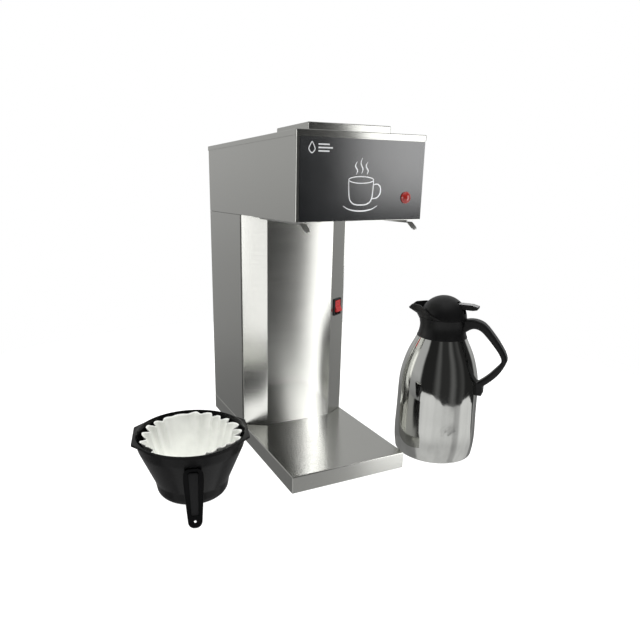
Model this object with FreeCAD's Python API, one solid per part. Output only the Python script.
import FreeCAD, Part
import math
import os

from FreeCAD import Placement, Rotation, Vector

# A pour-over coffee brewer with its vacuum jug and filter basket standing beside it.
# Millimetres, +Z up, -Y is the brewer's front. Each assembly is built in its own axes:
# the brewer's origin is the middle of its back edge on the table, the jug's and the
# basket's are the centres of their bases. The whole set is then moved by SET_SHIFT so
# that its origin is the middle of its footprint on the table.

# ---- driving dimensions -------------------------------------------------------------
WIDTH = 205.0
DEPTH = 380.0
BASE_TOP = 29.0
HEAD_BOTTOM = 407.0
COVER_TOP = 524.0
COVER_LIP = 7.4
LID_RISE = 13.5
SHEET = 1.2
SEAM = 0.6
FOLD = 2.5

COLUMN_SIDE = 167.0
COLUMN_FRONT = 191.5
FRONT_HALF = 62.9

SPRAY_Y = -286.0
FILL_HALF_X, FILL_FRONT, FILL_BACK = 62.0, -338.0, -243.0
LID_HALF_X, LID_FRONT, LID_BACK = 67.3, -343.3, -237.9

SWITCH_Z = 238.0
ROCKER_TILT = 12.0
ROCKER_PIVOT = 5.0
LAMP = (72.6, 438.4)
LAMP_R = 8.2

RAIL_INSIDE, RAIL_LEDGE = 85.0, 82.0
RAIL_FRONT, RAIL_BACK = -370.0, -215.0
RIVET_X, RIVETS_Y = 92.0, (-352.0, -292.5, -233.0)

JUG_CENTRE = (198.8, -337.2)
JUG_TURN = -53.3
BASKET_CENTRE = (-239.2, -317.8)
BASKET_TURN = -13.95
RIM_R, RIM_Z = 82.0, 104.4
EAR_HALF, EAR_LENGTH, EAR_ROOT = 83.7, 29.0, 46.0
BOWL_WALL = 2.4

SET_SHIFT = (28.81, 217.73)

HALF = WIDTH / 2
PARTS = {}


# ---- helpers ------------------------------------------------------------------------
def flat(x, y):
    """A point of a plan drawn in X and Y."""
    return Vector(x, y, 0)


def upright(x, z):
    """A point of a section drawn in X and Z."""
    return Vector(x, 0, z)


def sideways(y, z):
    """A point of a section drawn in Y and Z."""
    return Vector(0, y, z)


def outline(corners, plane=flat):
    """Closed wire through corners (a, b, radius), each rounded by its radius."""
    turns = []
    count = len(corners)
    for i, (a, b, radius) in enumerate(corners):
        here = Vector(a, b, 0)
        before = Vector(*corners[i - 1][:2], 0) - here
        after = Vector(*corners[(i + 1) % count][:2], 0) - here
        if radius <= 0:
            turns.append((here, None, here))
            continue
        half = before.getAngle(after) / 2
        before.normalize()
        after.normalize()
        middle = (before + after).normalize()
        reach = radius / math.tan(half)
        peak = here + middle * (radius / math.sin(half) - radius)
        turns.append((here + before * reach, peak, here + after * reach))
    edges = []
    for i, (start, peak, end) in enumerate(turns):
        following = turns[(i + 1) % count][0]
        if peak is not None:
            arc = [plane(p.x, p.y) for p in (start, peak, end)]
            edges.append(Part.Arc(*arc).toShape())
        if end.distanceToPoint(following) > 1e-6:
            line = [plane(p.x, p.y) for p in (end, following)]
            edges.append(Part.makeLine(*line))
    return Part.Wire(edges)


def thickened(path, wall):
    """The corners of a strip: path (a, b, radius), and the same path one wall to its left."""
    inner = []
    for i, (a, b, radius) in enumerate(path):
        here = Vector(a, b, 0)
        steps = []
        if i > 0:
            steps.append((here - Vector(*path[i - 1][:2], 0)).normalize())
        if i < len(path) - 1:
            steps.append((Vector(*path[i + 1][:2], 0) - here).normalize())
        normals = [Vector(-s.y, s.x, 0) for s in steps]
        if len(normals) == 1:
            moved = here + normals[0] * wall
            inner.append((moved.x, moved.y, 0))
            continue
        middle = (normals[0] + normals[1]).normalize()
        moved = here + middle * (wall / middle.dot(normals[0]))
        left_turn = steps[0].cross(steps[1]).z > 0
        bend = radius - wall if left_turn else radius + wall
        inner.append((moved.x, moved.y, max(bend, 0) if radius > 0 else 0))
    return list(path) + inner[::-1]


def prism(corners, low, high):
    """A plan outline raised from low to high."""
    face = Part.Face(outline([(*c, 0)[:3] for c in corners]))
    face.translate(Vector(0, 0, low))
    return face.extrude(Vector(0, 0, high - low))


def slab(corners, left, right):
    """A side outline, drawn in X and Z, extended in Y from left to right."""
    face = Part.Face(outline([(*c, 0)[:3] for c in corners], upright))
    face.translate(Vector(0, left, 0))
    return face.extrude(Vector(0, right - left, 0))


def across(corners, left, right):
    """An outline drawn in Y and Z, extended in X from left to right."""
    face = Part.Face(outline([(*c, 0)[:3] for c in corners], sideways))
    face.translate(Vector(left, 0, 0))
    return face.extrude(Vector(right - left, 0, 0))


def turned(corners):
    """A section of (radius, height, corner radius) turned about Z."""
    face = Part.Face(outline([(*c, 0)[:3] for c in corners], upright))
    return face.revolve(Vector(), Vector(0, 0, 1), 360)


def box(x0, x1, y0, y1, z0, z1):
    return Part.makeBox(x1 - x0, y1 - y0, z1 - z0, Vector(x0, y0, z0))


def rounded_box(x0, x1, y0, y1, z0, z1, radius):
    """A box whose upright edges are rounded."""
    return prism([(x0, y0, radius), (x1, y0, radius), (x1, y1, radius), (x0, y1, radius)], z0, z1)


def post(radius, x, y, z0, z1):
    return Part.makeCylinder(radius, z1 - z0, Vector(x, y, z0))


def rod(radius, start, end):
    start, end = Vector(*start), Vector(*end)
    return Part.makeCylinder(radius, (end - start).Length, start, end - start)


def hexagon(across_flats, x, y, z0, z1):
    reach = across_flats / 2 / math.cos(math.pi / 6)
    angles = [math.radians(60 * i) for i in range(6)]
    return prism([(x + reach * math.cos(a), y + reach * math.sin(a)) for a in angles], z0, z1)


def fuse(first, *others):
    joined = first.fuse(list(others)) if others else first
    return joined.removeSplitter()


def spline(points):
    curve = Part.BSplineCurve()
    curve.interpolate(points)
    return curve.toShape()


def softened(shape, radius, wanted):
    """Fillets the edges whose bounding box passes the test."""
    edges = [e for e in shape.Edges if wanted(e.BoundBox)]
    return shape.makeFillet(radius, edges)


def level(z):
    """Tests an edge for lying at one height."""
    return lambda b: abs(b.ZMin - z) < 0.01 and abs(b.ZMax - z) < 0.01


def pipe(points, bend, radius, bore=0):
    """A round tube along points, with each corner an arc of the bend radius."""
    corners = [Vector(*p) for p in points]
    edges, last = [], corners[0]
    for before, here, after in zip(corners, corners[1:], corners[2:]):
        back, on = (before - here).normalize(), (after - here).normalize()
        half = back.getAngle(on) / 2
        reach = bend / math.tan(half)
        start, end = here + back * reach, here + on * reach
        peak = here + (back + on).normalize() * (bend / math.sin(half) - bend)
        edges += [Part.makeLine(last, start), Part.Arc(start, peak, end).toShape()]
        last = end
    edges.append(Part.makeLine(last, corners[-1]))
    path = Part.Wire(edges)
    heading = corners[1] - corners[0]

    def swept(r):
        ring = Part.Wire(Part.makeCircle(r, corners[0], heading))
        return path.makePipeShell([ring], True, False)

    return swept(radius).cut(swept(bore)) if bore else swept(radius)


def screw(head_r, head_h, shank_r, shank_l):
    """A pan-head screw, head on top of Z = 0 and shank below it, with a crossed recess."""
    head = softened(post(head_r, 0, 0, 0, head_h), head_h * 0.5, level(head_h))
    slot = head_r * 0.9
    depth = head_h * 0.45
    for turn in (0, 90):
        bar = box(-slot / 2, slot / 2, -0.4, 0.4, head_h - depth, head_h + 1)
        bar.rotate(Vector(), Vector(0, 0, 1), turn)
        head = head.cut(bar)
    return fuse(head, post(shank_r, 0, 0, -shank_l, 0.01))


def placed(shape, position, axis=(0, 0, 1)):
    """A copy whose own +Z points along axis, at position."""
    copy = shape.copy()
    copy.Placement = Placement(Vector(*position), Rotation(Vector(0, 0, 1), Vector(*axis)))
    return copy


def stand(shape, centre, turn):
    """A copy turned about Z and stood at centre."""
    copy = shape.copy()
    copy.rotate(Vector(), Vector(0, 0, 1), turn)
    copy.translate(Vector(*centre, 0))
    return copy


def add(name, *shapes, centre=(0, 0), turn=0):
    """Stores one node. Its shapes are placed by their assembly's centre and turn."""
    PARTS[name] = [stand(s, centre, turn) for shape in shapes for s in shape.Solids]


# ---- brewer: base -------------------------------------------------------------------
SKIRT_BOTTOM = 1.5
FEET = [(x, y) for x in (-84.0, 84.0) for y in (-358.0, -22.0)]


def base():
    tray = rounded_box(-HALF, HALF, -DEPTH, 0, SKIRT_BOTTOM, BASE_TOP, 1.6)
    tray = softened(tray, 1.5, level(BASE_TOP))
    hollow = rounded_box(-HALF + SHEET, HALF - SHEET, -DEPTH + SHEET, -SHEET,
                         SKIRT_BOTTOM - 1, BASE_TOP - SHEET, 0.4)
    add("base_tray", tray.cut(hollow))

    inset = SHEET + 0.2
    plate = box(-HALF + inset, HALF - inset, -DEPTH + inset, -inset, 3.0, 4.2)
    feet, screws = [], []
    for x, y in FEET:
        plate = plate.cut(post(2.2, x, y, 2, 6))
        foot = softened(post(11.0, x, y, 0, 3.0), 0.8, level(0))
        feet.append(foot.cut(post(4.5, x, y, -1, 1.8)).cut(post(2.1, x, y, 0, 4)))
        screws.append(placed(screw(3.6, 1.3, 2.0, 8.0), (x, y, 1.8), (0, 0, -1)))
    add("base_bottom_plate", plate)
    add("rubber_feet", *feet)
    add("foot_screws", *screws)


# ---- brewer: column -----------------------------------------------------------------
COLUMN_LOW, COLUMN_HIGH = BASE_TOP + SEAM, HEAD_BOTTOM - SEAM
FACET_X, FACET_Y = HALF - SHEET - 0.3, -COLUMN_SIDE - 1.2
FACET_TURN = math.degrees(math.atan2(COLUMN_FRONT + FACET_Y, FACET_X - FRONT_HALF))
FACET_MIDDLE = ((FACET_X + FRONT_HALF) / 2, (FACET_Y - COLUMN_FRONT) / 2)
INLET_X, INLET_Z = -55.0, 76.0
COVER_SHEET = 1.0


def on_facet(shape):
    """Moves a shape drawn at the middle of a front-facing panel onto the right facet."""
    copy = shape.copy()
    copy.rotate(Vector(), Vector(0, 0, 1), FACET_TURN)
    copy.translate(Vector(*FACET_MIDDLE, SWITCH_Z))
    return copy


def column():
    wall = [(HALF, -COLUMN_SIDE, 0), (HALF, 0, FOLD), (-HALF, 0, FOLD), (-HALF, -COLUMN_SIDE, 0)]
    housing = prism(thickened(wall, SHEET), COLUMN_LOW, COLUMN_HIGH)
    window = slab([(-86, 46, 6), (86, 46, 6), (86, 392, 6), (-86, 392, 6)], -5, 5)
    add("column_housing", housing.cut(window))

    lip = -150.0
    faces = [(FACET_X, lip, 0), (FACET_X, FACET_Y, 2.0), (FRONT_HALF, -COLUMN_FRONT, 2.0),
             (-FRONT_HALF, -COLUMN_FRONT, 2.0), (-FACET_X, FACET_Y, 2.0), (-FACET_X, lip, 0)]
    panel = prism(thickened(faces[::-1], SHEET), COLUMN_LOW, COLUMN_HIGH)
    add("column_front_panel", panel.cut(on_facet(box(-11.2, 11.2, -5, 5, -14.2, 14.2))))

    cover = across([(0, 36, 0), (COVER_SHEET, 36, 0), (COVER_SHEET, 402, 0), (0, 402, 0)], -96, 96)
    for row in range(9):
        for x in (-46.0, 46.0):
            z = 300.0 + 9.0 * row
            cover = cover.cut(rounded_box(x - 26, x + 26, -1, 3, z, z + 3.0, 0))
    cover = cover.cut(box(INLET_X - 14.2, INLET_X + 14.2, -1, 3, INLET_Z - 12.2, INLET_Z + 12.2))
    screws = []
    for x in (-90.0, 0.0, 90.0):
        for z in (41.0, 397.0):
            cover = cover.cut(rod(2.0, (x, -1, z), (x, 3, z)))
            screws.append(placed(screw(3.4, 1.6, 1.8, 7.0), (x, COVER_SHEET, z), (0, 1, 0)))
    for x in (-90.0, 90.0):
        cover = cover.cut(rod(2.0, (x, -1, 219), (x, 3, 219)))
        screws.append(placed(screw(3.4, 1.6, 1.8, 7.0), (x, COVER_SHEET, 219), (0, 1, 0)))
    holes = [rod(1.9, (s.BoundBox.Center.x, -9, s.BoundBox.Center.z),
                 (s.BoundBox.Center.x, 0.5, s.BoundBox.Center.z)) for s in screws]
    PARTS["column_housing"] = [PARTS["column_housing"][0].cut(holes)]
    add("column_back_cover", cover)
    add("back_cover_screws", *screws)


def inlet():
    """The mains inlet: a flanged socket with three blades, facing backwards."""
    flange = softened(box(-25, 25, 0, 3.0, -15, 15), 3, lambda b: b.YLength > 2.9)
    body = flange.fuse(box(-14, 14, -20, 0.5, -12, 12))
    pocket = box(-12, 12, -15.5, 4, -8.8, 8.8)
    body = body.cut(pocket)
    for x, z in ((-7.0, 2.0), (7.0, 2.0), (0.0, -2.0)):
        body = body.fuse(box(x - 1, x + 1, -16, -3, z - 2, z + 2))
    for x in (-20.0, 20.0):
        body = body.cut(rod(1.7, (x, -1, 0), (x, 4, 0)))
    body = body.removeSplitter()
    body.translate(Vector(INLET_X, COVER_SHEET, INLET_Z))
    add("power_inlet", body)
    heads = [placed(screw(2.8, 1.2, 1.5, 7.0), (INLET_X + x, COVER_SHEET + 3, INLET_Z), (0, 1, 0))
             for x in (-20.0, 20.0)]
    for x in (-20.0, 20.0):
        hole = rod(1.6, (INLET_X + x, -5, INLET_Z), (INLET_X + x, 2, INLET_Z))
        PARTS["column_back_cover"] = [PARTS["column_back_cover"][0].cut(hole)]
    add("inlet_screws", *heads)


def switch():
    """A rocker switch on the right facet. Its own -Y is the facet's outward side."""
    frame = softened(box(-12.5, 12.5, -2, 0, -15.5, 15.5), 1.2, lambda b: b.YLength > 1.9)
    body = frame.fuse(box(-11, 11, -0.5, 22, -14, 14)).cut(box(-9.8, 9.8, -3, 18, -13.2, 13.2))
    body = body.cut(rod(1.65, (-12, ROCKER_PIVOT, 0), (12, ROCKER_PIVOT, 0)))
    for z in (-8.0, 0.0, 8.0):
        for x in (-6.0, 6.0):
            body = body.fuse(box(x - 0.4, x + 0.4, 21.5, 30, z - 2.4, z + 2.4))
    add("switch_body", on_facet(body.removeSplitter()))

    p = ROCKER_PIVOT
    tips = [(-4.8, -10.8, 0.8), (-2.2, 0, 8), (-4.8, 10.8, 0.8), (1.5, 10.3, 0.8),
            (p + 3.5, 3.5, 2), (p + 3.5, -3.5, 2), (1.5, -10.3, 0.8)]
    rocker = across(tips, -9.5, 9.5)
    rocker = rocker.fuse(rod(1.6, (-10.8, p, 0), (10.8, p, 0))).removeSplitter()
    rocker.rotate(Vector(0, p, 0), Vector(1, 0, 0), -ROCKER_TILT)
    add("switch_rocker", on_facet(rocker))


# ---- brewer: head -------------------------------------------------------------------
FASCIA = 0.8
HEAD_FRONT = -DEPTH + FASCIA
COVER_UNDER = COVER_TOP - 0.8


def head():
    shell = rounded_box(-HALF, HALF, HEAD_FRONT, 0, HEAD_BOTTOM, COVER_UNDER - 0.2, FOLD)
    inside = rounded_box(-HALF + SHEET, HALF - SHEET, HEAD_FRONT + SHEET, -SHEET,
                         HEAD_BOTTOM - 1, COVER_TOP, FOLD - SHEET)
    lamp_hole = rod(6.1, (LAMP[0], -DEPTH - 2, LAMP[1]), (LAMP[0], HEAD_FRONT + 4, LAMP[1]))
    add("head_shell", shell.cut(inside).cut(lamp_hole))

    panel = box(-97, 101, -DEPTH, HEAD_FRONT, HEAD_BOTTOM + 0.6, 515.0)
    panel = softened(panel, 0.6, lambda b: b.YLength > 0.7)
    add("front_fascia", panel.cut(lamp_hole))

    inset = SHEET + 0.15
    under = box(-HALF + inset, HALF - inset, HEAD_FRONT + inset, -inset, HEAD_BOTTOM,
                HEAD_BOTTOM + SHEET)
    under = under.cut(rounded_box(-88, 88, -150, -20, 400, 412, 8))
    under = under.cut(post(8.2, 0, SPRAY_Y, 400, 412))
    screws = []
    for x in (-60.0, 60.0):
        for y in (-364.0, -208.0):
            under = under.cut(post(2.1, x, y, 400, 412))
            screws.append(placed(screw(3.4, 1.6, 2.0, 6.0), (x, y, HEAD_BOTTOM), (0, 0, -1)))
    add("underside_screws", *screws)

    rivets = []
    for side in (-1, 1):
        for y in RIVETS_Y:
            rivet = screw(2.6, 1.0, 1.5, 3.4)
            rivets.append(placed(rivet, (side * RIVET_X, y, HEAD_BOTTOM - 1.4), (0, 0, -1)))
            under = under.cut(post(1.55, side * RIVET_X, y, 400, 412))
    add("head_underside", under)
    add("rail_rivets", *rivets)


def cover():
    proud = 0.9
    tray = rounded_box(-HALF - proud, HALF + proud, -DEPTH - proud, proud,
                       COVER_TOP - COVER_LIP, COVER_TOP, 3.0)
    tray = softened(tray, 1.2, level(COVER_TOP))
    gap = 0.1
    inside = rounded_box(-HALF - gap, HALF + gap, -DEPTH - gap, gap,
                         COVER_TOP - COVER_LIP - 1, COVER_UNDER, 2.2)
    mouth = rounded_box(-FILL_HALF_X - 0.3, FILL_HALF_X + 0.3, FILL_FRONT - 0.3, FILL_BACK + 0.3,
                        COVER_UNDER - 1, COVER_TOP + 1, 6.3)
    add("top_cover", tray.cut(inside).cut(mouth))

    top = COVER_TOP + LID_RISE
    lid = rounded_box(-LID_HALF_X, LID_HALF_X, LID_FRONT, LID_BACK, COVER_TOP + SEAM, top, 2.0)
    lid = softened(lid, 1.4, level(top))
    wall = 1.0
    hollow = rounded_box(-LID_HALF_X + wall, LID_HALF_X - wall, LID_FRONT + wall,
                         LID_BACK - wall, COVER_TOP - 1, top - wall, 1.0)
    add("water_lid", lid.cut(hollow))


TANK_X, TANK_FRONT, TANK_BACK = 82.0, -350.0, -195.0
TANK_LOW, TANK_TOP = 440.0, 520.0
TANK_WALL = 1.6
OUTLET = (-70.0, -209.0)
HOSE_Z = 420.0


def tank():
    outer = rounded_box(-TANK_X, TANK_X, TANK_FRONT, TANK_BACK, TANK_LOW, TANK_TOP, 10)
    outer = softened(outer, 4, level(TANK_LOW))
    collar = rounded_box(-FILL_HALF_X, FILL_HALF_X, FILL_FRONT, FILL_BACK, TANK_TOP - 1, 531, 6)
    w = TANK_WALL
    inner = rounded_box(-TANK_X + w, TANK_X - w, TANK_FRONT + w, TANK_BACK - w,
                        TANK_LOW + w, TANK_TOP - w, 10 - w)
    mouth = rounded_box(-FILL_HALF_X + w, FILL_HALF_X - w, FILL_FRONT + w, FILL_BACK - w,
                        TANK_TOP - 5, 532, 6 - w)
    vessel = outer.fuse(collar).cut(inner).cut(mouth)
    vessel = vessel.fuse(post(5.85, *OUTLET, TANK_LOW - 10, TANK_LOW + 1))
    add("water_tank", vessel.cut(post(4, *OUTLET, TANK_LOW - 12, TANK_LOW + 5)).removeSplitter())

    ring = rounded_box(-FILL_HALF_X - 8, FILL_HALF_X + 8, FILL_FRONT - 8, FILL_BACK + 8,
                       TANK_TOP, COVER_UNDER, 12)
    hole = rounded_box(-FILL_HALF_X, FILL_HALF_X, FILL_FRONT, FILL_BACK, 515, 530, 6)
    add("tank_gasket", ring.cut(hole))


# ---- brewer: water path and electrics -----------------------------------------------
BOILER = (0.0, -95.0)
BOILER_R, BOILER_LOW, BOILER_TOP = 40.0, 46.0, 232.0
VALVE_X = -70.0
RISER_Z = 422.0


def boiler():
    x, y = BOILER
    shell = softened(post(BOILER_R, x, y, BOILER_LOW, BOILER_TOP), 6,
                     lambda b: b.ZLength < 0.01)
    inner = softened(post(BOILER_R - 1.2, x, y, BOILER_LOW + 1.2, BOILER_TOP - 1.2), 5,
                     lambda b: b.ZLength < 0.01)
    barb = post(6, x, y, BOILER_TOP - 1, BOILER_TOP + 16)
    port = rod(6, (-BOILER_R + 2, y, 70), (-BOILER_R - 14, y, 70))
    shell = shell.fuse([barb, port]).cut(inner)
    shell = shell.cut([post(4, x, y, BOILER_TOP - 5, BOILER_TOP + 20),
                       rod(4, (-BOILER_R + 8, y, 70), (-BOILER_R - 20, y, 70)),
                       rod(14, (30, y, 75), (45, y, 75))])
    add("boiler_tank", shell.removeSplitter())

    legs = [(-52, BASE_TOP, 0), (-52, BOILER_LOW, 2), (52, BOILER_LOW, 2), (52, BASE_TOP, 0)]
    bracket = slab(thickened(legs[::-1], 1.5), y - 34, y + 34)
    add("boiler_bracket", bracket)

    rods = pipe([(36, y, 83), (-26, y, 83), (-26, y, 67), (36, y, 67)], 7.9, 3.2)
    plug = rod(13.8, (34, y, 75), (40.5, y, 75)).fuse(rod(19, (40.5, y, 75), (44.5, y, 75)))
    pins = [rod(2.2, (44, y, 75 + z), (54, y, 75 + z)) for z in (-8, 8)]
    add("heating_element", plug.fuse([rods, *pins]).removeSplitter())

    disc = rod(8, (x, y - BOILER_R - 0.2, 180), (x, y - BOILER_R - 7, 180))
    wings = box(x - 14, x + 14, y - BOILER_R - 1.4, y - BOILER_R - 0.2, 174, 186)
    tabs = [box(x + s - 0.4, x + s + 0.4, y - BOILER_R - 15, y - BOILER_R - 6, 177, 183)
            for s in (-4, 4)]
    add("thermostat", disc.fuse([wings, *tabs]).removeSplitter())
    lead = rod(1.0, (BOILER_R + 3.6, y, 128), (BOILER_R + 3.6, y, 177))
    add("thermal_fuse", post(3.2, BOILER_R + 3.6, y, 140, 165).fuse(lead).removeSplitter())


def plumbing():
    y = BOILER[1]
    seat = (VALVE_X, y)
    upper = pipe([(*OUTLET, TANK_LOW - 1), (*OUTLET, HOSE_Z), (*seat, HOSE_Z), (*seat, 142)],
                 15, 9, 6)
    lower = pipe([(*seat, 118), (*seat, 70), (-BOILER_R - 3, y, 70)], 15, 9, 6)
    add("inlet_hose", upper, lower)
    valve = fuse(post(11, *seat, 124, 140), post(6, *seat, 106, 158))
    bore = post(3.5, *seat, 100, 160)
    add("check_valve", valve.cut(bore))

    riser = pipe([(*BOILER, BOILER_TOP + 1), (*BOILER, RISER_Z), (0, SPRAY_Y + 14, RISER_Z)],
                 30, 9, 6)
    add("riser_hose", riser)

    plate = turned([(0, 402.6, 0), (27, 402.6, 0.8), (28, 404.4, 0.8), (25, 406, 0.8), (0, 406, 0)])
    plate.translate(Vector(0, SPRAY_Y, 0))
    stem = post(8, 0, SPRAY_Y, 405.5, RISER_Z + 6)
    spout = rod(6, (0, SPRAY_Y, RISER_Z), (0, SPRAY_Y + 34, RISER_Z))
    head_piece = plate.fuse([stem, spout])
    hollow = turned([(0, 403.4, 0), (25.6, 403.4, 0), (26, 404.4, 0), (24, 405.2, 0),
                     (0, 405.2, 0)])
    hollow.translate(Vector(0, SPRAY_Y, 0))
    cuts = [hollow, post(4.5, 0, SPRAY_Y, 404, RISER_Z),
            rod(4.5, (0, SPRAY_Y, RISER_Z), (0, SPRAY_Y + 40, RISER_Z))]
    for ring, count in ((8.0, 6), (15.0, 10), (22.0, 14)):
        for i in range(count):
            a = 2 * math.pi * i / count
            cuts.append(post(1.0, ring * math.cos(a), SPRAY_Y + ring * math.sin(a), 401, 404))
    add("spray_head", head_piece.cut(cuts).removeSplitter())
    nut = hexagon(22, 0, SPRAY_Y, HEAD_BOTTOM + SHEET, HEAD_BOTTOM + SHEET + 5)
    add("spray_head_nut", nut.cut(post(8, 0, SPRAY_Y, 400, 420)))


def electrics():
    block = box(45, 95, -60, -36, BASE_TOP, BASE_TOP + 20)
    for i in range(4):
        x = 52.0 + 12 * i
        block = block.cut([post(2.8, x, -48, 40, 60), rod(2.6, (x, -62, 36), (x, -34, 36))])
    add("terminal_block", block)

    x, z = LAMP
    cap = turned([(0, 0, 0), (LAMP_R, 0, 0), (LAMP_R, 1.6, 0.5), (0, 1.6, 0)])
    dome = Part.makeSphere(9.0, Vector(0, 0, -3.4))
    dome = dome.common(box(-10, 10, -10, 10, 0.5, 10))
    add("lamp_lens", placed(fuse(cap, dome), (x, -DEPTH, z), (0, -1, 0)))
    barrel = rod(6.0, (x, -DEPTH, z), (x, -DEPTH + 24, z))
    pins = [box(x - 0.4, x + 0.4, -DEPTH + 23, -DEPTH + 31, z + s - 2.2, z + s + 2.2)
            for s in (-3, 3)]
    add("lamp_body", barrel.fuse(pins).removeSplitter())
    nut = hexagon(15, 0, 0, 0, 3).cut(post(6.0, 0, 0, -1, 4))
    add("lamp_nut", placed(nut, (x, HEAD_FRONT + SHEET, z), (0, 1, 0)))


def rails():
    """Ledges under the head for the basket's ears, each with a finger bent down in front."""
    top, low, wall = HEAD_BOTTOM - 0.2, 402.4, 1.2
    for name, side in (("basket_rail_left", -1), ("basket_rail_right", 1)):
        ledge, inner, outer, flange = [side * x for x in (RAIL_LEDGE, RAIL_INSIDE,
                                                          RAIL_INSIDE + wall, 97.0)]
        section = [(flange, top), (inner, top), (inner, low + wall), (ledge, low + wall),
                   (ledge, low), (outer, low), (outer, top - wall), (flange, top - wall)]
        rail = slab(section, RAIL_FRONT, RAIL_BACK)
        bend = RAIL_FRONT - 4.0
        strip = [(RAIL_FRONT + 6, low + wall, 0), (bend, low + wall, 4), (-392.0, 391.5, 0),
                 (-391.3, 390.5, 0), (bend + 0.4, low, 4), (RAIL_FRONT + 6, low, 0)]
        x = side * 87.6
        blank = rounded_box(x - 4.5, x + 4.5, -387.6, RAIL_FRONT + 8, 386, 410, 4.3)
        rail = rail.fuse(across(strip, x - 6, x + 6).common(blank)).removeSplitter()
        for y in RIVETS_Y:
            rail = rail.cut(post(1.6, side * RIVET_X, y, 402, 410))
        add(name, rail)


# ---- vacuum jug: own axes, handle towards +X, spout towards -X ----------------------
JUG_SIDE = [(66.0, 4.0), (68.7, 30.0), (67.8, 70.0), (66.8, 118.0), (65.0, 140.0),
            (60.7, 160.0), (54.3, 180.0), (45.5, 199.0), (38.6, 213.2)]
STEEL = 0.8
COLLAR_LOW, COLLAR_TOP = 209.0, 241.2
NECK_R = 30.0
LEVER_PIVOT = (20.0, 262.0)
DOME_R, DOME_LOW, DOME_RIM, DOME_TOP = 38.0, 241.5, 243.0, 278.5


def jug_curve(inward=0.0, low=0.0):
    """The jug's side as points, moved in by a wall thickness along its normal."""
    points = []
    for i, (r, z) in enumerate(JUG_SIDE):
        a, b = JUG_SIDE[max(i - 1, 0)], JUG_SIDE[min(i + 1, len(JUG_SIDE) - 1)]
        dr, dz = b[0] - a[0], b[1] - a[1]
        length = math.hypot(dr, dz)
        points.append(Vector(r - inward * dz / length, 0, z + inward * dr / length))
    points[0].z = max(points[0].z, low)
    return points


def jug_core():
    """The jug's outside as one filled solid."""
    side = jug_curve()
    foot = [Vector(0, 0, 0), Vector(62.5, 0, 0)]
    curl = Part.Arc(foot[1], Vector(65.0, 0, 1.2), side[0]).toShape()
    top = Vector(0, 0, side[-1].z)
    edges = [Part.makeLine(*foot), curl, spline(side), Part.makeLine(side[-1], top),
             Part.makeLine(top, foot[0])]
    return Part.Face(Part.Wire(edges)).revolve(Vector(), Vector(0, 0, 1), 360)


def jug_body():
    side, inner = jug_curve(), jug_curve(STEEL)
    lip = Vector(57, 0, 0), Vector(57, 0, STEEL), Vector(62.2, 0, STEEL), Vector(62.5, 0, 0)
    edges = [Part.Arc(lip[3], Vector(65.0, 0, 1.2), side[0]).toShape(), spline(side),
             Part.makeLine(side[-1], inner[-1]), spline(inner[::-1]),
             Part.Arc(inner[0], Vector(64.2, 0, 1.8), lip[2]).toShape(),
             Part.makeLine(lip[2], lip[1]), Part.makeLine(lip[1], lip[0]),
             Part.makeLine(lip[0], lip[3])]
    shell = Part.Face(Part.Wire(edges)).revolve(Vector(), Vector(0, 0, 1), 360)
    add_jug("jug_outer_body", shell)
    add_jug("jug_base_cap", turned([(0, 1.0), (60, 1.0, 1), (60, 3.2, 1), (0, 3.2)]))
    flask = [(0, 14, 0), (60, 14, 14), (60, 146, 24), (NECK_R, 205, 14), (NECK_R, 236, 0)]
    add_jug("jug_inner_flask", turned(thickened(flask, STEEL)))


def add_jug(name, *shapes):
    add(name, *shapes, centre=JUG_CENTRE, turn=JUG_TURN)


def beak(z, reach, radius, nose):
    """A level section of the pouring lip: a circle drawn out to a rounded nose."""
    centre = -(reach - nose)
    lean = math.acos((radius - nose) / -centre)
    edge = math.cos(math.pi - lean), math.sin(math.pi - lean)
    side, side_far = [Vector(radius * edge[0], s * radius * edge[1], z) for s in (1, -1)]
    tip, tip_far = [Vector(centre + nose * edge[0], s * nose * edge[1], z) for s in (1, -1)]
    return Part.Wire([
        Part.Arc(side_far, Vector(radius, 0, z), side).toShape(),
        Part.makeLine(side, tip),
        Part.Arc(tip, Vector(-reach, 0, z), tip_far).toShape(),
        Part.makeLine(tip_far, side_far)])


def dome_solid(shrink=0.0, low=DOME_LOW):
    """The lid's domed outside: a ball's cap from its rim to its crown, over a straight skirt."""
    rise = DOME_TOP - DOME_RIM
    ball = (DOME_R ** 2 + rise ** 2) / (2 * rise)
    middle = DOME_TOP - ball
    cap = Part.makeSphere(ball - shrink, Vector(0, 0, middle))
    return cap.common(post(DOME_R - shrink, 0, 0, low, DOME_TOP + 1))


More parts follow.
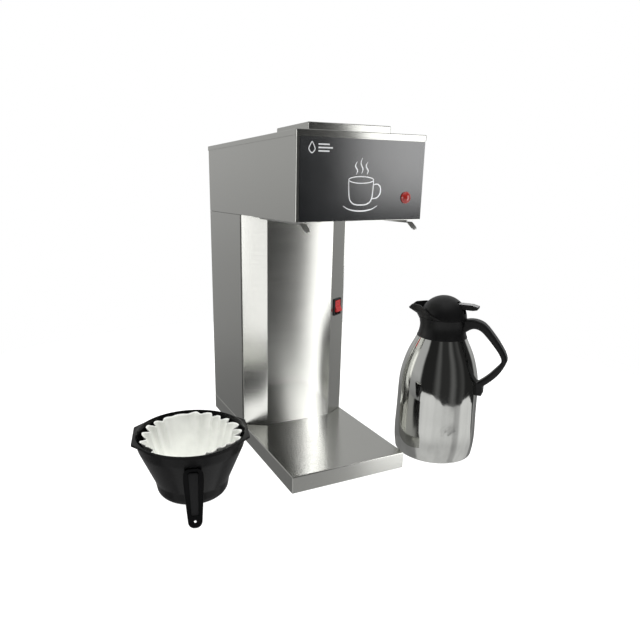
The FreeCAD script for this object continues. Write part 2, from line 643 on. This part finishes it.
def collar():
    side = [Vector(41.6, 0, COLLAR_LOW), Vector(38.5, 0, 218), Vector(37.5, 0, 227),
            Vector(38.3, 0, 236), Vector(38.9, 0, COLLAR_TOP)]
    low, top = Vector(0, 0, COLLAR_LOW), Vector(0, 0, COLLAR_TOP)
    edges = [Part.makeLine(low, side[0]), spline(side), Part.makeLine(side[-1], top),
             Part.makeLine(top, low)]
    core = Part.Face(Part.Wire(edges)).revolve(Vector(), Vector(0, 0, 1), 360)
    levels = [(214, 38.6, 38.0, 10), (226, 38.2, 36.5, 8), (235, 40.0, 37.0, 7),
              (244, 45.5, 38.9, 6), (251, 59.0, 40.0, 5), (264, 66.0, 40.5, 5)]
    lip = Part.makeLoft([beak(z, x, r, n) for z, x, r, n in levels], True, True)
    wall = 2.2
    inside = [(240, 42.0 - wall, 36.0, 5), (244, 45.5 - wall, 38.9 - wall, 4),
              (251, 59.0 - wall, 37.8, 3.2), (265, 67.0 - wall, 38.3, 3.2)]
    channel = Part.makeLoft([beak(z, x, r, n) for z, x, r, n in inside], True, True)
    channel = channel.common(box(-80, 0, -60, 60, COLLAR_TOP, 280))
    above = slab([(-90, 251, 0), (-61.5, 251, 4), (-51, 261.5, 6), (-34, 262.4, 12),
                  (-14, 251, 14), (8, COLLAR_TOP, 12), (60, COLLAR_TOP, 0), (60, 290, 0),
                  (-90, 290, 0)], -60, 60)
    cavity = turned([(0, 200), (41.05, 200), (41.05, COLLAR_LOW), (39.4, 213.6),
                     (NECK_R, 213.6), (NECK_R, 236.3), (29.4, 236.3), (29.4, 250), (0, 250)])
    way_out = post(DOME_R + 0.6, 0, 0, COLLAR_TOP, 290)
    shape = core.fuse(lip).cut([cavity, channel, above, way_out])
    add_jug("jug_collar", shape.removeSplitter())
    return core


def jug_handle(core):
    outer = [(36, 241.0), (57, 242.8), (66, 239.6), (78, 229.0), (96.5, 206.0), (106.0, 190.0),
             (108.2, 181.5), (105.8, 171.5), (95.0, 152.0), (74.6, 130.8)]
    inner = [(66.4, 137.6), (80.5, 151.0), (94.0, 168.0), (100.0, 180.5), (98.4, 185.6),
             (86.0, 203.0), (72.0, 218.6), (62.0, 226.6), (53.0, 228.4), (45.5, 225.4),
             (36, 215.5)]
    ends = [[upright(*p) for p in side] for side in (outer, inner)]
    edges = [spline(ends[0]), Part.makeLine(ends[0][-1], ends[1][0]), spline(ends[1]),
             Part.makeLine(ends[1][-1], ends[0][0])]
    face = Part.Face(Part.Wire(edges))
    face.translate(Vector(0, -9.5, 0))
    grip = face.extrude(Vector(0, 19, 0))
    grip = softened(grip, 3.2, lambda b: b.YLength < 0.01 and b.DiagonalLength > 60)
    add_jug("jug_handle", grip.cut([core, post(DOME_R + 0.6, 0, 0, 230, 260)]))

    block = [(58, 114.6), (75.4, 115.4, 2), (75.4, 130.1, 0), (66.6, 137.4), (58, 137.4)]
    bracket = slab(block, -9.2, 9.2).cut(jug_core())
    bracket = bracket.cut([rod(3.8, (73.4, 0, 122), (80, 0, 122)),
                           rod(1.8, (60, 0, 122), (80, 0, 122))])
    add_jug("jug_handle_bracket", bracket)
    add_jug("jug_handle_screw", placed(screw(3.6, 1.5, 1.7, 5.0), (73.4, 0, 122), (1, 0, 0)))


def jug_lid():
    dome = dome_solid().cut(dome_solid(2.2, DOME_LOW - 1))
    dome = dome.cut(box(12, 45, -9.1, 9.1, 250.5, 270.5))
    px, pz = LEVER_PIVOT
    ears = []
    for side in (-1, 1):
        near, far = sorted((side * 9.4, side * 11.6))
        ear = slab([(px - 5, 243.0), (px + 5, 243.0), (px + 4, pz + 4, 3.9),
                    (px - 4, pz + 4, 3.9)], near, far)
        ears.append(ear.cut(rod(1.5, (px, -20, pz), (px, 20, pz))))
    plate = post(35.6, 0, 0, 241.6, 243.6)
    stopper = fuse(plate, post(28.0, 0, 0, 204, 241.8), *ears)
    groove = post(30, 0, 0, 213, 216).cut(post(26.4, 0, 0, 213, 216))
    cuts = [groove, post(6, 0, 0, 200, 210), post(12, 0, 0, 208, 234),
            post(3.2, 0, 0, 230, 250), box(-30, -10, -4, 4, 224, 232)]
    cuts += [post(2.5, 8 * math.cos(a), 8 * math.sin(a), 230, 250)
             for a in (math.pi / 2, math.pi, 3 * math.pi / 2)]
    stopper = stopper.cut(cuts)
    add_jug("jug_lid", dome)
    add_jug("jug_stopper", stopper.removeSplitter())
    seal = post(28.9, 0, 0, 213.3, 215.7).cut(post(26.7, 0, 0, 213, 216))
    add_jug("jug_lid_seal", seal)

    lever = slab([(-6, 259.4, 1), (16, 258.6, 2), (48, 258.6, 4), (55.5, 260.2, 2),
                  (56, 264.6, 1.5), (46, 267.4, 10), (24, 267.6, 4), (8, 263.2, 4),
                  (-6, 261.9, 1)], -8.6, 8.6)
    lever = lever.cut([rod(1.56, (px, -20, pz), (px, 20, pz)), box(-9, 4.5, -3.4, 3.4, 250, 280),
                       box(-9, 11, -20, -7.2, 250, 280), box(-9, 11, 7.2, 20, 250, 280)])
    add_jug("jug_lever", lever)
    add_jug("jug_lever_pin", rod(1.5, (px, -11.6, pz), (px, 11.6, pz)))

    stem = fuse(post(9, 0, 0, 208.1, 210.6), post(2.9, 0, 0, 210, 264), post(6, 0, 0, 263.4, 265.6))
    add_jug("jug_valve", stem)
    wire = 0.7
    coil = Part.makeHelix(4.4, 22.0, 5.4)
    ring = Part.Wire(Part.makeCircle(wire, Vector(5.4, 0, 0), Vector(0, 1, 0)))
    spring = Part.Wire(coil).makePipeShell([ring], True, True)
    spring.translate(Vector(0, 0, 210.7 + wire))
    add_jug("jug_valve_spring", spring)


# ---- filter basket: own axes, handle towards -Y -------------------------------------
FLARE_LOW, FLARE_TOP = (55.2, 33.0), (77.5, 86.0)
BOWL = [(4.5, 0.0, 0), (23.0, 0.0, 3), (26.0, 9.0, 4), (51.2, 9.8, 14), (*FLARE_LOW, 9),
        (*FLARE_TOP, 26), (RIM_R, RIM_Z, 0)]
EAR_LOW = 101.2
HANDLE_LENGTH = 76.0
HANDLE_SLOPE = 51.0
HANDLE_ROOT = (72.6, 81.5)
HANG_HOLE_R = 1.7


def add_basket(name, *shapes):
    add(name, *shapes, centre=BASKET_CENTRE, turn=BASKET_TURN)


def basket():
    section = thickened(BOWL, BOWL_WALL)
    bowl = turned(section)
    core = turned([(0, 0, 0), *BOWL, (0, RIM_Z, 0)])
    hollow = core.cut(bowl)
    rim = post(RIM_R, 0, 0, EAR_LOW, RIM_Z)
    root_x = math.sqrt(RIM_R ** 2 - EAR_ROOT ** 2)
    for side in (-1, 1):
        ear = [(0, -EAR_ROOT), (side * root_x, -EAR_ROOT), (side * EAR_HALF, -EAR_LENGTH),
               (side * EAR_HALF, EAR_LENGTH), (side * root_x, EAR_ROOT), (0, EAR_ROOT)]
        rim = rim.fuse(prism(ear, EAR_LOW, RIM_Z))
    ribs = []
    for i in range(12):
        rib = slab([(50, 33), (54.4, 33), (76.2, 86), (79, 98), (70, 98)], -0.9, 0.9)
        rib.rotate(Vector(), Vector(0, 0, 1), 15 + 30 * i)
        ribs.append(rib.cut(turned([(0, 20), (51.0, 31), (73.2, 87.6), (75.8, 99), (0, 99)])))
    bowl = bowl.fuse(rim).cut(hollow).fuse(ribs)

    holes = basket_handle(core)
    add_basket("basket_bowl", bowl.cut(holes).removeSplitter())

    grid = post(48.0, 0, 0, 15.8, 18.0)
    for ring, count in ((10.0, 6), (20.0, 12), (30.0, 18), (40.0, 24)):
        for i in range(count):
            a = 2 * math.pi * i / count
            grid = grid.cut(post(1.5, ring * math.cos(a), ring * math.sin(a), 15, 19))
    add_basket("basket_grid", grid)


def basket_handle(core):
    """A sloping bar with a recessed face and a hanging hole, its bracket and its two screws."""
    bar = [(13.6, 0, 9), (14.0, 18, 10), (8.8, HANDLE_LENGTH, 8.7), (-8.8, HANDLE_LENGTH, 8.7),
           (-14.0, 18, 10), (-13.6, 0, 9)]
    blade = prism(bar, 0, 8)
    blade = softened(blade, 1.6, level(8))
    recess = [(7.4, 4.5, 3), (5.4, HANDLE_LENGTH - 14.5, 2), (-5.4, HANDLE_LENGTH - 14.5, 2),
              (-7.4, 4.5, 3)]
    blade = blade.cut(prism(recess, 5.0, 9))
    blade = blade.cut(post(HANG_HOLE_R, 0, HANDLE_LENGTH - 8, -1, 9))
    root = rounded_box(-11, 11, 1, 20, -16, -0.1, 4)

    fixing_z = 72.0
    wall = FLARE_LOW[0] + ((fixing_z - FLARE_LOW[1]) * (FLARE_TOP[0] - FLARE_LOW[0])
                           / (FLARE_TOP[1] - FLARE_LOW[1]))
    inside = wall - BOWL_WALL - 0.3
    holes, screws = [], []
    for x in (-6.5, 6.5):
        holes.append(rod(1.6, (x, -inside + 4, fixing_z), (x, -wall - 7, fixing_z)))
        screws.append(placed(screw(3.0, 1.2, 1.5, 8.0), (x, -inside + 1.4, fixing_z), (0, 1, 0)))
    for name, piece in (("basket_handle", blade), ("basket_handle_bracket", root)):
        piece.rotate(Vector(), Vector(1, 0, 0), -HANDLE_SLOPE)
        piece.rotate(Vector(), Vector(0, 0, 1), 180)
        piece.translate(Vector(0, -HANDLE_ROOT[0], HANDLE_ROOT[1]))
        add_basket(name, piece.cut([core, *holes]))
    add_basket("basket_handle_screws", *screws)
    return holes


def paper():
    """The filter paper: a thin cup, its wall as thick as the flutes are deep."""
    section = [(0, 18.3), (44, 18.3, 2), (74.8, 96.0), (68.2, 96.0), (42.6, 19.6), (0, 19.6)]
    add_basket("paper_filter", turned(section))


def build():
    base()
    column()
    inlet()
    switch()
    head()
    cover()
    tank()
    boiler()
    plumbing()
    electrics()
    rails()
    jug_body()
    jug_handle(collar())
    jug_lid()
    basket()
    paper()


def write():
    os.makedirs("parts", exist_ok=True)
    everything = Part.makeCompound([s for solids in PARTS.values() for s in solids])
    everything.translate(Vector(*SET_SHIFT, 0))
    reach = everything.optimalBoundingBox(False, False)
    print("set", [round(v, 3) for v in (reach.XMin, reach.XMax, reach.YMin, reach.YMax,
                                        reach.ZMin, reach.ZMax)])
    for name, solids in PARTS.items():
        moved = [s.copy() for s in solids]
        for s in moved:
            s.translate(Vector(*SET_SHIFT, 0))
            if not s.isValid() or s.Volume <= 0:
                print("check", name, s.isValid(), s.Volume)
        Part.makeCompound(moved).exportStep(f"parts/{name}.step")


build()
write()
